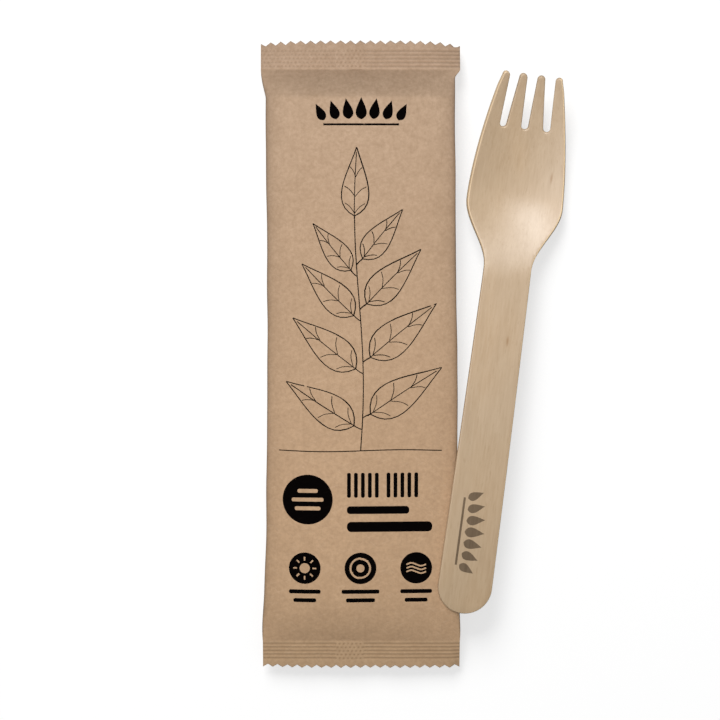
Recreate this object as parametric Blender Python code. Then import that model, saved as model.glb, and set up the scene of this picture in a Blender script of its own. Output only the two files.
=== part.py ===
"""A sealed kraft paper pack of wooden forks, with one of the forks lying against it.

The pack is a flow wrap: a paper tube with a fin seam down its back, pressed flat and crimped at both
ends, and cut off by a zigzag knife. It can't be seen into, so it is one solid. The fork is one piece
of birch veneer: it is cut out flat, and its bowl is then pressed in.

Run it with blender --background --factory-startup --python part.py, or from Blender's text editor.
Lengths are in metres. +X is the pack's right, +Y its top end and +Z its front, which faces up. The
origin is the middle of the pack's underside, where its seam lies on the table.
"""

import math

import bmesh
import bpy
from mathutils import Matrix, Vector

MM = 0.001

# The pack. Its width is that of the flat paper tube, which shows at the two crimped ends.
PACK_LENGTH = 186.4 * MM
PACK_WIDTH = 58.4 * MM
THICKNESS_AT_HEADS = 11.5 * MM
THICKNESS_AT_HANDLES = 9.2 * MM
TOP_SHOULDER = 8.4 * MM
TOP_SLOPE = 1.2
BOTTOM_SHOULDER = 15.0 * MM
BOTTOM_SLOPE = 1.9
PACK_BOW = 0.5 * MM
TUCK_DEPTH = 1.5 * MM
TUCK_REACH = 2.6 * MM
SIDE_LINE_SHARE = 0.44
GIRTH_FACTOR = 1.28
FRONT_ROUNDNESS = 2.5
BACK_ROUNDNESS = 3.0
BACK_FLATNESS = 1.12
STACK_VALLEY = 0.8 * MM
VALLEY_PLACE = 0.45
VALLEY_WIDTH = 0.42
GATHER_DEPTH = 0.32 * MM
GATHER_COUNT = 5
GATHER_REACH = 16.0 * MM

# The crimped ends.
SEAL_HEIGHT = 8.4 * MM
SEAL_THICKNESS = 0.40 * MM
TOP_SEAL_LIFT = 4.3 * MM
BOTTOM_SEAL_LIFT = 4.4 * MM
BOTTOM_SEAL_DROOP = 0.9 * MM
TOOTH_COUNT = 20
TOOTH_DEPTH = 1.2 * MM
RIB_COUNT = 5
RIB_PITCH = 1.11 * MM
RIB_DEPTH = 0.28 * MM
RIB_MARGIN = 0.4 * MM
TOP_LEFT_CURL = 0.9 * MM
TOP_LEFT_CURL_WIDTH = 14.0 * MM
TOP_RIGHT_CURL = 2.2 * MM
TOP_RIGHT_CURL_WIDTH = 10.0 * MM
BOTTOM_RIGHT_CURL = 1.3 * MM
BOTTOM_RIGHT_CURL_WIDTH = 3.2 * MM
CUT_ROUND_LEFT = 1.0 * MM
CUT_ROUND_RIGHT = 1.5 * MM

# The fin seam on the back, folded over to the pack's left.
FIN_WIDTH = 8.0 * MM
FIN_THICKNESS = 0.30 * MM
FIN_FOLD_X = 0.8 * MM
FIN_ROOT = 0.15 * MM
FIN_END = 0.3 * MM

# The fork, measured from the end of its handle.
FORK_LENGTH = 160.0 * MM
FORK_THICKNESS = 1.6 * MM
HANDLE_END_WIDTH = 16.1 * MM
NECK_WIDTH = 14.0 * MM
NECK_AT = 103.0 * MM
HEAD_WIDTH = 28.5 * MM
HEAD_AT = 122.0 * MM
HEAD_TIP_WIDTH = 17.7 * MM
TINE_COUNT = 4
TINE_LENGTH = 16.9 * MM
SLOT_ROOT_WIDTH = 2.1 * MM
SLOT_ROOT_PITCH = 6.5 * MM
SLOT_TIP_WIDTH = 3.0 * MM
SLOT_TIP_PITCH = 5.3 * MM
BOWL_START = 99.0 * MM
BOWL_BOTTOM_AT = 126.0 * MM
BOWL_DEPTH = 6.0 * MM
TINE_RISE = 7.0 * MM
BOWL_CURL = 2.4 * MM
HANDLE_ARCH = 0.8 * MM

# How the fork lies: its handle's end on the pack's right flank, its bowl on the table.
FORK_TURN = math.radians(7.42)
FORK_ROLL = math.radians(3.0)
FORK_END_UP = 17.6 * MM
FORK_END_OUT = 0.7 * MM
REST_GAP = 0.3 * MM

COLUMNS = 2 * TOOTH_COUNT
BODY_RINGS = 15
SHOULDER_RINGS = 6

TOP_Y = PACK_LENGTH / 2
BOTTOM_Y = -PACK_LENGTH / 2
TOP_SEAL_Y = TOP_Y - SEAL_HEIGHT
BOTTOM_SEAL_Y = BOTTOM_Y + SEAL_HEIGHT


def clear_scene():
    for obj in list(bpy.data.objects):
        bpy.data.objects.remove(obj, do_unlink=True)


def plain_material(name, colour, roughness):
    material = bpy.data.materials.new(name)
    material.use_nodes = True
    shader = material.node_tree.nodes["Principled BSDF"]
    shader.inputs["Base Color"].default_value = (*colour, 1.0)
    shader.inputs["Roughness"].default_value = roughness
    shader.inputs["Metallic"].default_value = 0.0
    return material


def new_object(name, mesh, material=None):
    obj = bpy.data.objects.new(name, mesh)
    bpy.context.scene.collection.objects.link(obj)
    if material:
        mesh.materials.append(material)
    return obj


def ease(x):
    """0 below 0, 1 above 1, and a smooth step between."""
    x = min(max(x, 0.0), 1.0)
    return x * x * (3.0 - 2.0 * x)


def blend(a, b, share):
    return a + (b - a) * share


# The pack's form, as heights over the table


def fill_at(y):
    """How full the tube is at y: 0 at a crimped end, 1 where the forks hold it open."""
    from_top = min(max((TOP_SEAL_Y - y) / TOP_SHOULDER, 0.0), 1.0)
    from_bottom = min(max((y - BOTTOM_SEAL_Y) / BOTTOM_SHOULDER, 0.0), 1.0)
    return (1.0 - (1.0 - from_top) ** TOP_SLOPE) * (1.0 - (1.0 - from_bottom) ** BOTTOM_SLOPE)


def stack_at(y):
    """Thickness of the stack of forks. Their heads lie at the top end, and make it thicker there."""
    along = (y - BOTTOM_SEAL_Y) / (TOP_SEAL_Y - BOTTOM_SEAL_Y)
    return blend(THICKNESS_AT_HANDLES, THICKNESS_AT_HEADS, ease(along))


def thickness_at(y):
    return stack_at(y) * fill_at(y)


def half_width_at(y, side):
    """Half the tube's width, to its left (side -1) or its right (side 1).

    The paper's girth stays the same, so the tube is narrower where it is thicker. Its right side is
    also tucked in just under the top seal.
    """
    half = (PACK_WIDTH - GIRTH_FACTOR * thickness_at(y) ** 2 / PACK_WIDTH) / 2
    if side < 0 or y < 0:
        return half
    return min(half, PACK_WIDTH / 2 - TUCK_DEPTH * ease((TOP_SEAL_Y - y) / TUCK_REACH))


def middle_at(y):
    """The tube's middle bows out a little to its right, half way between the seals."""
    along = (y - BOTTOM_SEAL_Y) / (TOP_SEAL_Y - BOTTOM_SEAL_Y)
    return PACK_BOW * math.sin(math.pi * min(max(along, 0.0), 1.0)) ** 2


def place_across(u, y):
    """x of a place on the tube. u runs from -1 at its left edge to 1 at its right."""
    return middle_at(y) + u * half_width_at(y, u)


def share_across(x, y):
    """u of a place on the tube, the reverse of place_across."""
    offset = x - middle_at(y)
    return offset / half_width_at(y, offset)


def side_line_at(y):
    """Height of the tube's side edges, and of the flat ends."""
    flat = TOP_SEAL_LIFT if y > 0 else BOTTOM_SEAL_LIFT
    if y < BOTTOM_SEAL_Y:
        flat -= BOTTOM_SEAL_DROOP * (BOTTOM_SEAL_Y - y) / SEAL_HEIGHT
    body = FIN_THICKNESS + SEAL_THICKNESS / 2 + SIDE_LINE_SHARE * stack_at(y)
    return blend(flat, body, fill_at(y))


def gathers(u, y):
    """Soft pleats that run from the crimped ends into the paper, and die out."""
    height = 0.0
    for seal_y, shift in ((TOP_SEAL_Y, 0.4), (BOTTOM_SEAL_Y, 1.7)):
        away = abs(y - seal_y) / GATHER_REACH
        if away < 1.0:
            swell = math.sin(math.pi * away) * (1.0 - away)
            height += swell * math.cos(math.pi * GATHER_COUNT * u + shift)
    return GATHER_DEPTH * height * (1.0 - u * u)


def front_at(u, y):
    """Height of the front paper."""
    bulge = (1.0 - abs(u) ** FRONT_ROUNDNESS) ** (1.0 / FRONT_ROUNDNESS)
    valley = STACK_VALLEY * math.exp(-((u - VALLEY_PLACE) / VALLEY_WIDTH) ** 2) * fill_at(y)
    rise = (1.0 - SIDE_LINE_SHARE) * thickness_at(y) * bulge
    return side_line_at(y) + SEAL_THICKNESS / 2 + rise - valley + gathers(u, y)


def back_at(u, y):
    """Height of the back paper, which lies flat on the table along its middle."""
    bulge = min(1.0, BACK_FLATNESS * (1.0 - abs(u) ** BACK_ROUNDNESS) ** (1.0 / BACK_ROUNDNESS))
    drop = SIDE_LINE_SHARE * thickness_at(y) * bulge
    return side_line_at(y) - SEAL_THICKNESS / 2 - drop


def pack_front_height(x, y):
    """Height of the pack's front at a point of the table, or None beside the pack."""
    if not BOTTOM_Y < y < TOP_Y:
        return None
    u = share_across(x, y)
    return front_at(u, y) if abs(u) < 1.0 else None


def seal_rows(seal_y, outward):
    """(y, rib height) of the rings across a crimped end, from its inner line outwards."""
    rows = [(seal_y, 0.0)]
    for rib in range(RIB_COUNT):
        start = RIB_MARGIN + rib * RIB_PITCH
        rows.append((seal_y + outward * start, 0.0))
        rows.append((seal_y + outward * (start + RIB_PITCH / 2), -RIB_DEPTH))
    rows.append((seal_y + outward * (RIB_MARGIN + RIB_COUNT * RIB_PITCH), 0.0))
    return rows


def ring_rows():
    """(y, rib height) of every ring between the two cut edges, from bottom to top."""
    bottom = seal_rows(BOTTOM_SEAL_Y, -1.0)[::-1]
    top = seal_rows(TOP_SEAL_Y, 1.0)
    low_body = BOTTOM_SEAL_Y + BOTTOM_SHOULDER
    high_body = TOP_SEAL_Y - TOP_SHOULDER
    low = [blend(BOTTOM_SEAL_Y, low_body, (i + 1) / SHOULDER_RINGS) for i in range(SHOULDER_RINGS)]
    body = [blend(low_body, high_body, (i + 1) / BODY_RINGS) for i in range(BODY_RINGS)]
    high = [blend(high_body, TOP_SEAL_Y, (i + 1) / SHOULDER_RINGS) for i in range(SHOULDER_RINGS - 1)]
    return bottom + [(y, 0.0) for y in low + body + high] + top


def curl(u, y):
    """How far the corners of the flat ends are bent back, away from the front."""
    if y >= TOP_SEAL_Y:
        outward = (y - TOP_SEAL_Y) / SEAL_HEIGHT
        left = corner_share(-u, TOP_LEFT_CURL_WIDTH)
        right = corner_share(u, TOP_RIGHT_CURL_WIDTH)
        return outward * (TOP_LEFT_CURL * left + TOP_RIGHT_CURL * right)
    outward = max(BOTTOM_SEAL_Y - y, 0.0) / SEAL_HEIGHT
    return outward * BOTTOM_RIGHT_CURL * corner_share(u, BOTTOM_RIGHT_CURL_WIDTH)


def corner_share(u, width):
    """0 away from the corner at u = 1, and 1 at it."""
    return max(1.0 - (1.0 - u) * PACK_WIDTH / 2 / width, 0.0) ** 2


def pack_ring(bm, y, rib, cut=None):
    """One closed ring of the tube's points. cut gives each column its own y at a zigzag edge."""
    full = fill_at(y)
    front, back = [], []
    for column in range(COLUMNS + 1):
        u = 2.0 * column / COLUMNS - 1.0
        u = blend(u, math.sin(math.pi * u / 2), 0.75 * full)
        here = cut(column, u) if cut else y
        x = place_across(u, y)
        bend = curl(u, here)
        front.append(bm.verts.new((x, here, front_at(u, y) + rib - bend)))
        back.append(bm.verts.new((x, here, back_at(u, y) + rib - bend)))
    return front + back[::-1]


def top_cut(column, u):
    """Where the knife cuts the top edge, which is drawn down a little at its corners."""
    corner = CUT_ROUND_LEFT if u < 0 else CUT_ROUND_RIGHT
    return TOP_Y - (TOOTH_DEPTH if column % 2 else 0.0) - corner * abs(u) ** 5


def bottom_cut(column, u):
    return BOTTOM_Y + (0.0 if column % 2 else TOOTH_DEPTH)


def cap(bm, ring, facing_up):
    """Closes the tube at a cut edge, with one face for each half tooth."""
    last = len(ring) - 1
    for i in range(COLUMNS):
        corners = [ring[i], ring[i + 1], ring[last - i - 1], ring[last - i]]
        bm.faces.new(corners if facing_up else corners[::-1])


def tube_mesh():
    bm = bmesh.new()
    rings = [pack_ring(bm, BOTTOM_Y, 0.0, bottom_cut)]
    rings += [pack_ring(bm, y, rib) for y, rib in ring_rows()]
    rings.append(pack_ring(bm, TOP_Y, 0.0, top_cut))
    for lower, upper in zip(rings, rings[1:]):
        for i in range(len(lower)):
            j = (i + 1) % len(lower)
            bm.faces.new((lower[i], lower[j], upper[j], upper[i]))
    cap(bm, rings[0], facing_up=False)
    cap(bm, rings[-1], facing_up=True)
    bmesh.ops.triangulate(bm, faces=bm.faces[:])
    bmesh.ops.recalc_face_normals(bm, faces=bm.faces[:])
    mesh = bpy.data.meshes.new("paper_pack")
    bm.to_mesh(mesh)
    bm.free()
    return mesh


def fin_mesh():
    """The seam's two plies, folded flat on the back: a strip that is crimped with the ends."""
    left, right = FIN_FOLD_X - FIN_WIDTH, FIN_FOLD_X
    rows = [(BOTTOM_Y + TOOTH_DEPTH + FIN_END, 0.0)]
    rows += ring_rows()
    rows.append((TOP_Y - TOOTH_DEPTH - FIN_END, 0.0))
    bm = bmesh.new()
    rings = []
    for y, rib in rows:
        ring = []
        for x, inside in ((left, True), (right, True), (right, False), (left, False)):
            z = back_at(share_across(x, y), y) + rib
            ring.append(bm.verts.new((x, y, z + (FIN_ROOT if inside else -FIN_THICKNESS))))
        rings.append(ring)
    for lower, upper in zip(rings, rings[1:]):
        for i in range(4):
            j = (i + 1) % 4
            bm.faces.new((lower[i], lower[j], upper[j], upper[i]))
    bm.faces.new(rings[0][::-1])
    bm.faces.new(rings[-1])
    bmesh.ops.triangulate(bm, faces=bm.faces[:])
    bmesh.ops.recalc_face_normals(bm, faces=bm.faces[:])
    mesh = bpy.data.meshes.new("fin_seam")
    bm.to_mesh(mesh)
    bm.free()
    return mesh


def build_pack():
    kraft = plain_material("kraft paper", (0.47, 0.32, 0.20), 0.85)
    pack = new_object("paper_pack", tube_mesh(), kraft)
    fin = new_object("fin_seam", fin_mesh())
    fin.hide_render = True
    fin.display_type = "WIRE"
    seam = pack.modifiers.new("fin seam", "BOOLEAN")
    seam.operation = "UNION"
    seam.solver = "EXACT"
    seam.object = fin
    return pack


# The fork, in its own frame: x across, y from the end of its handle to its tips, z up


def half_width_of_fork(s):
    """Half the blank's width at a distance s from the end of the handle."""
    end = HANDLE_END_WIDTH / 2
    if s < end:
        return math.sqrt(max(end * end - (end - s) ** 2, 0.0))
    if s < NECK_AT:
        return blend(end, NECK_WIDTH / 2, (s - end) / (NECK_AT - end))
    if s < HEAD_AT:
        return blend(NECK_WIDTH / 2, HEAD_WIDTH / 2, ease((s - NECK_AT) / (HEAD_AT - NECK_AT)))
    taper = ((s - HEAD_AT) / (FORK_LENGTH - HEAD_AT)) ** 1.5
    return blend(HEAD_WIDTH / 2, HEAD_TIP_WIDTH / 2, taper)


def arc(centre_x, centre_y, radius, start, end, steps):
    """Points on an arc, both ends included, with its angles in degrees."""
    points = []
    for i in range(steps + 1):
        angle = math.radians(blend(start, end, i / steps))
        points.append((centre_x + radius * math.cos(angle), centre_y + radius * math.sin(angle)))
    return points


def side_points():
    """The blank's right side, from the end of the handle up to the outer tine."""
    end = HANDLE_END_WIDTH / 2
    points = arc(0.0, end, end, -90.0, 0.0, 9)
    points += [(half_width_of_fork(s), s) for s in (NECK_AT * 0.5, NECK_AT)]
    steps = 9
    for i in range(steps):
        s = blend(NECK_AT, HEAD_AT, (i + 1) / steps)
        points.append((half_width_of_fork(s), s))
    for i in range(steps - 1):
        s = blend(HEAD_AT, FORK_LENGTH - 3.0 * MM, (i + 1) / (steps - 1))
        points.append((half_width_of_fork(s), s))
    return points


def tine_tip(left, right):
    """A round tip between the two sides of a tine, from its right side to its left."""
    radius = (right - left) / 2
    return arc((left + right) / 2, FORK_LENGTH - radius, radius, 0.0, 180.0, 6)


def slot_root(centre):
    """The round bottom of a slot, from its right side to its left."""
    radius = SLOT_ROOT_WIDTH / 2
    return arc(centre, FORK_LENGTH - TINE_LENGTH + radius, radius, 0.0, -180.0, 6)


def blank_outline():
    """The flat blank's outline, anticlockwise from the end of the handle."""
    slots = TINE_COUNT - 1
    offsets = [slot - (slots - 1) / 2 for slot in range(slots)][::-1]
    side = side_points()
    points = list(side)
    right = HEAD_TIP_WIDTH / 2
    for offset in offsets:
        left = offset * SLOT_TIP_PITCH + SLOT_TIP_WIDTH / 2
        points += tine_tip(left, right)
        points += slot_root(offset * SLOT_ROOT_PITCH)
        right = left - SLOT_TIP_WIDTH
    points += tine_tip(-HEAD_TIP_WIDTH / 2, right)
    points += [(-x, y) for x, y in side[:0:-1]]
    return points


def flat_blank():
    """The blank as the die leaves it, sliced where the press will bend it."""
    bm = bmesh.new()
    bottom = bm.faces.new([bm.verts.new((x, y, -FORK_THICKNESS / 2)) for x, y in blank_outline()])
    lifted = bmesh.ops.extrude_face_region(bm, geom=[bottom])
    verts = [v for v in lifted["geom"] if isinstance(v, bmesh.types.BMVert)]
    bmesh.ops.translate(bm, verts=verts, vec=(0.0, 0.0, FORK_THICKNESS))
    handle_cuts = [BOWL_START * (i + 1) / 9 for i in range(9)]
    bowl_cuts = 11
    tine_cuts = 8
    cuts = handle_cuts
    cuts += [blend(BOWL_START, BOWL_BOTTOM_AT, (i + 1) / bowl_cuts) for i in range(bowl_cuts)]
    cuts += [blend(BOWL_BOTTOM_AT, FORK_LENGTH, (i + 1) / (tine_cuts + 1)) for i in range(tine_cuts)]
    for s in cuts:
        geometry = bm.verts[:] + bm.edges[:] + bm.faces[:]
        bmesh.ops.bisect_plane(bm, geom=geometry, dist=1e-7, plane_co=(0, s, 0), plane_no=(0, 1, 0))
    for side in (-3, -2, -1, 0, 1, 2, 3):
        x = side * HEAD_WIDTH / 8
        head = [f for f in bm.faces if f.calc_center_median().y > BOWL_START]
        edges = {e for f in head for e in f.edges}
        verts = {v for f in head for v in f.verts}
        geometry = list(verts) + list(edges) + head
        bmesh.ops.bisect_plane(bm, geom=geometry, dist=1e-7, plane_co=(x, 0, 0), plane_no=(1, 0, 0))
    bmesh.ops.triangulate(bm, faces=bm.faces[:])
    bmesh.ops.recalc_face_normals(bm, faces=bm.faces[:])
    return bm


def pressed_height(x, s):
    """Height of the veneer's middle after the press, over the ends of the handle."""
    arch = HANDLE_ARCH * math.sin(math.pi * min(s / BOWL_START, 1.0))
    if s < BOWL_BOTTOM_AT:
        along = -BOWL_DEPTH * ease((s - BOWL_START) / (BOWL_BOTTOM_AT - BOWL_START))
    else:
        climb = (s - BOWL_BOTTOM_AT) / (FORK_LENGTH - BOWL_BOTTOM_AT)
        along = -BOWL_DEPTH + TINE_RISE * climb**1.7
    across = BOWL_CURL * (2 * x / HEAD_WIDTH) ** 2 * ease((s - BOWL_START) / (HEAD_AT - BOWL_START))
    return arch + along + across


def pressed(x, s, level):
    """Where the press takes a point of the blank that is level above its middle."""
    step = 0.05 * MM
    here = pressed_height(x, s)
    slope_x = (pressed_height(x + step, s) - here) / step
    slope_s = (pressed_height(x, s + step) - here) / step
    normal = Vector((-slope_x, -slope_s, 1.0)).normalized()
    return Vector((x, s, here)) + normal * level


def fork_pose(tilt, lift):
    """The fork's frame in the pack's frame, with its handle's end raised by tilt."""
    end_y = BOTTOM_Y + FORK_END_UP
    end_x = PACK_WIDTH / 2 + FORK_END_OUT
    turn = Matrix.Rotation(-FORK_TURN, 4, "Z")
    tip = Matrix.Rotation(-tilt, 4, "X")
    roll = Matrix.Rotation(FORK_ROLL, 4, "Y")
    return Matrix.Translation((end_x, end_y, lift)) @ turn @ tip @ roll


def underside_points():
    """Points over the fork's underside, close enough together to find where it touches."""
    points = []
    steps = 80
    for i in range(steps + 1):
        s = FORK_LENGTH * i / steps
        for j in range(-6, 7):
            points.append(pressed(half_width_of_fork(s) * j / 6, s, -FORK_THICKNESS / 2))
    return points


def settle_fork():
    """Tips the fork until its bowl is on the table and its handle is a rest gap above the pack."""
    points = underside_points()

    def gap_to_pack(tilt):
        pose = fork_pose(tilt, 0.0)
        placed = [pose @ point for point in points]
        lift = -min(point.z for point in placed)
        gaps = []
        for point in placed:
            under = pack_front_height(point.x, point.y)
            if under is not None:
                gaps.append(point.z + lift - under)
        return (min(gaps) if gaps else REST_GAP), lift

    low, high = math.radians(-6.0), math.radians(12.0)
    for _ in range(40):
        middle = (low + high) / 2
        if gap_to_pack(middle)[0] < REST_GAP:
            low = middle
        else:
            high = middle
    return fork_pose(high, gap_to_pack(high)[1])


def build_fork():
    birch = plain_material("birch veneer", (0.56, 0.42, 0.28), 0.55)
    bm = flat_blank()
    for vert in bm.verts:
        vert.co = pressed(vert.co.x, vert.co.y, vert.co.z)
    mesh = bpy.data.meshes.new("wooden_fork")
    bm.to_mesh(mesh)
    bm.free()
    fork = new_object("wooden_fork", mesh, birch)
    fork.matrix_world = settle_fork()
    return fork


def main():
    clear_scene()
    pack = build_pack()
    fork = build_fork()
    for obj in (pack, fork):
        obj.data.shade_smooth()
        obj.data.set_sharp_from_angle(angle=math.radians(30.0))


main()
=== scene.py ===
# %% [markdown]
# # A paper pack of wooden forks
#
# A flow-wrapped pack of kraft paper lies on its back, and one of its birch forks leans on its right
# side. The solids that carry the sizes come in first and are left where they are. Every piece that is
# modelled below stands on them, in the same frame: metres, +X to the pack's right, +Y to its top end
# and +Z out of its printed front. The origin is under the middle of the pack, on the table.

# %% Load the solids
import math

import bpy
from mathutils import Matrix, Vector, noise
from mathutils.bvhtree import BVHTree


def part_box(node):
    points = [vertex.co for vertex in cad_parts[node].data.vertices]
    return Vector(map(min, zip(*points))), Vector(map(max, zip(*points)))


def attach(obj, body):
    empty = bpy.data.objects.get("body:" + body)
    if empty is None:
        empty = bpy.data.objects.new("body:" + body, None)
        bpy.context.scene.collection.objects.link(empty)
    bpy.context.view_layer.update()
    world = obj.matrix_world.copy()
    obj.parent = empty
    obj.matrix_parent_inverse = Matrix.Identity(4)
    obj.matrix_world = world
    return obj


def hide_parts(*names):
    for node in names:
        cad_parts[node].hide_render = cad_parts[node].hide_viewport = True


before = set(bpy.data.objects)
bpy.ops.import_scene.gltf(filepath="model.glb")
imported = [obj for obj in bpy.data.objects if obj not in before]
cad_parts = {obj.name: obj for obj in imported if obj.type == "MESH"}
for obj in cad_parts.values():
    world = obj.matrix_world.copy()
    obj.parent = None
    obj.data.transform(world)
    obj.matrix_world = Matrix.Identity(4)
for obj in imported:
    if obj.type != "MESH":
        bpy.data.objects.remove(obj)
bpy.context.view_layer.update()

MM = 0.001
pack_low, pack_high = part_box("paper_pack")
fork_low, fork_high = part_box("wooden_fork")
print("pack, mm:", [round(side / MM, 1) for side in pack_high - pack_low])
print("fork, mm:", [round(side / MM, 1) for side in fork_high - fork_low])

# %% [markdown]
# ## The camera
#
# The photograph looks straight down. The pack's top end is 2.4% larger in it than the bottom end, so
# the camera stood about 650 mm away and a little past the middle, towards the top. A camera at
# rotation zero already looks down with +Y up, so it only has to be tilted. The focal length follows
# from the distance and from the width of the table that the photograph takes in.

# %% Camera
PHOTO_SIDE = 720
PIXEL = 0.2947 * MM
PACK_CENTRE_PX = (360.5, 358.6)
CAMERA_DISTANCE = 650 * MM
CAMERA_TILT = math.radians(4.5)
AIM_HEIGHT = 7 * MM


def on_table(px, py):
    """The place on the table of a pixel of the photograph."""
    return (px - PACK_CENTRE_PX[0]) * PIXEL, (PACK_CENTRE_PX[1] - py) * PIXEL


aim_x, aim_y = on_table(PHOTO_SIDE / 2, PHOTO_SIDE / 2)
camera_place = (
    aim_x,
    aim_y + CAMERA_DISTANCE * math.sin(CAMERA_TILT),
    AIM_HEIGHT + CAMERA_DISTANCE * math.cos(CAMERA_TILT),
)
bpy.ops.object.camera_add(location=camera_place, rotation=(-CAMERA_TILT, 0, 0))
camera = bpy.context.object
camera.data.lens = camera.data.sensor_width * CAMERA_DISTANCE / (PHOTO_SIDE * PIXEL)
bpy.context.scene.camera = camera
print("lens, mm:", round(camera.data.lens, 1))

# %% [markdown]
# ## The floor and the light
#
# The object lies on a white sheet that fades out to pure white, with light soft shadows to its right
# and below it. Most of the white is emission that only the camera sees. So the shadows stay light,
# and the sheet doesn't throw that light back up at the object's sides.
#
# The light is a dim white room and four softboxes. Each of them lights one thing only, which Blender
# calls light linking, as a photographer screens a lamp off with cards. The key is far off beyond the
# top end, to the left, and makes the soft shadows on the sheet. One hangs low over the pack, where it
# grazes the ribs and the shoulders of the paper. The fork has two: one beyond its tines, which shines
# in the hollow of its neck, and a wide one over it that fills in the rest. The helpers that build
# node trees come first, because the sheet and the room use them too.

# %% Node helpers


def add_node(tree, kind, **values):
    """Adds a node. Each value sets the input of that name, with _ for a space."""
    node = tree.nodes.new(kind)
    for name, value in values.items():
        node.inputs[name.replace("_", " ")].default_value = value
    return node


def new_group(name, inputs, outputs):
    """A shader node group whose sockets are given as name: kind, and its two end nodes."""
    group = bpy.data.node_groups.new(name, "ShaderNodeTree")
    for in_out, sockets in (("INPUT", inputs), ("OUTPUT", outputs)):
        for label, kind in sockets.items():
            group.interface.new_socket(label, in_out=in_out, socket_type="NodeSocket" + kind)
    return group, group.nodes.new("NodeGroupInput"), group.nodes.new("NodeGroupOutput")


def feed(tree, value, socket):
    """Links a socket into another one, or writes a plain value there."""
    if isinstance(value, bpy.types.NodeSocket):
        tree.links.new(value, socket)
    else:
        socket.default_value = value


def mix_colours(tree, share, first, second, blend="MIX"):
    """A colour mix. share, first and second are sockets or plain values."""
    node = tree.nodes.new("ShaderNodeMix")
    node.data_type = "RGBA"
    node.blend_type = blend
    for index, value in ((0, share), (6, first), (7, second)):
        feed(tree, value, node.inputs[index])
    return node.outputs[2]


def ramp(tree, value, low, high, to_low=0.0, to_high=1.0):
    """A clamped straight ramp from one range of values to another."""
    limits = {"From_Min": low, "From_Max": high, "To_Min": to_low, "To_Max": to_high}
    node = add_node(tree, "ShaderNodeMapRange", **limits)
    tree.links.new(value, node.inputs["Value"])
    return node.outputs["Result"]


def noise_of(tree, vector, scale, detail=2.0, roughness=0.5):
    node = add_node(tree, "ShaderNodeTexNoise", Scale=scale, Detail=detail, Roughness=roughness)
    tree.links.new(vector, node.inputs["Vector"])
    return node.outputs["Fac"]


def stretched(tree, vector, turn, scale, place=(0, 0, 0)):
    """The vector turned about Z round a place, then scaled, which draws a noise out into streaks."""
    node = tree.nodes.new("ShaderNodeMapping")
    node.vector_type = "TEXTURE"
    node.inputs["Location"].default_value = place
    node.inputs["Rotation"].default_value = (0, 0, turn)
    node.inputs["Scale"].default_value = scale
    tree.links.new(vector, node.inputs["Vector"])
    return node.outputs["Vector"]


def add_math(tree, operation, first, second):
    """A maths node. first and second are sockets or plain values."""
    node = tree.nodes.new("ShaderNodeMath")
    node.operation = operation
    feed(tree, first, node.inputs[0])
    feed(tree, second, node.inputs[1])
    return node.outputs["Value"]


def object_vector(tree):
    return tree.nodes.new("ShaderNodeTexCoord").outputs["Object"]


def y_of(tree, vector):
    node = tree.nodes.new("ShaderNodeSeparateXYZ")
    tree.links.new(vector, node.inputs["Vector"])
    return node.outputs["Y"]


def attribute_of(tree, name):
    """What an attribute of the mesh says here."""
    node = tree.nodes.new("ShaderNodeAttribute")
    node.attribute_name = name
    return node.outputs["Fac"]


print("node helpers ready")

# %% Floor and world
FLOOR_SIZE = 4.0
FLOOR_HEIGHT = -0.05 * MM
FLOOR_WHITE = 0.80
FLOOR_LIFT = 0.66
ROOM_LIGHT = 0.15


def new_material(name, roughness, gloss):
    """A material that is one Principled shader so far, with its node tree and that shader."""
    material = bpy.data.materials.new(name)
    material.use_nodes = True
    tree = material.node_tree
    tree.nodes.clear()
    output = tree.nodes.new("ShaderNodeOutputMaterial")
    shader = tree.nodes.new("ShaderNodeBsdfPrincipled")
    shader.inputs["Roughness"].default_value = roughness
    shader.inputs["Specular IOR Level"].default_value = gloss
    tree.links.new(shader.outputs["BSDF"], output.inputs["Surface"])
    return material, tree, shader


def for_camera(tree, seen, other):
    """One value where the camera looks straight at something, and another for all other light."""
    light_path = tree.nodes.new("ShaderNodeLightPath")
    return ramp(tree, light_path.outputs["Is Camera Ray"], 0, 1, other, seen)


def deselect_all():
    bpy.ops.object.select_all(action="DESELECT")


bpy.context.scene.view_settings.view_transform = "Standard"
deselect_all()
bpy.ops.mesh.primitive_plane_add(size=FLOOR_SIZE, location=(0, 0, FLOOR_HEIGHT))
floor = bpy.context.object
floor.name = "white_sheet"
sheet_white, tree, shader = new_material("white sheet", 1.0, 0.0)
shader.inputs["Base Color"].default_value = (FLOOR_WHITE, FLOOR_WHITE, FLOOR_WHITE, 1)
shader.inputs["Emission Color"].default_value = (1, 1, 1, 1)
tree.links.new(for_camera(tree, FLOOR_LIFT, 0), shader.inputs["Emission Strength"])
floor.data.materials.append(sheet_white)

room = bpy.data.worlds.new("white room")
bpy.context.scene.world = room
room.use_nodes = True
tree = room.node_tree
background = tree.nodes["Background"]
background.inputs["Color"].default_value = (1, 1, 1, 1)
tree.links.new(for_camera(tree, 1, ROOM_LIGHT), background.inputs["Strength"])
print("floor", FLOOR_SIZE, "m wide, room light", ROOM_LIGHT)

# %% Lamps
LAMPS = (
    # name, place and size in metres, and power in watts
    ("key softbox", (-0.43, 1.33, 1.00), 0.90, 17.0),
    ("softbox over the paper", (-0.016, 0.025, 0.36), 0.16, 1.17),
    ("softbox beyond the fork", (0.014, 0.42, 0.52), 0.26, 3.65),
    ("softbox over the fork", (-0.25, 0.05, 0.62), 0.30, 1.58),
)


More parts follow.
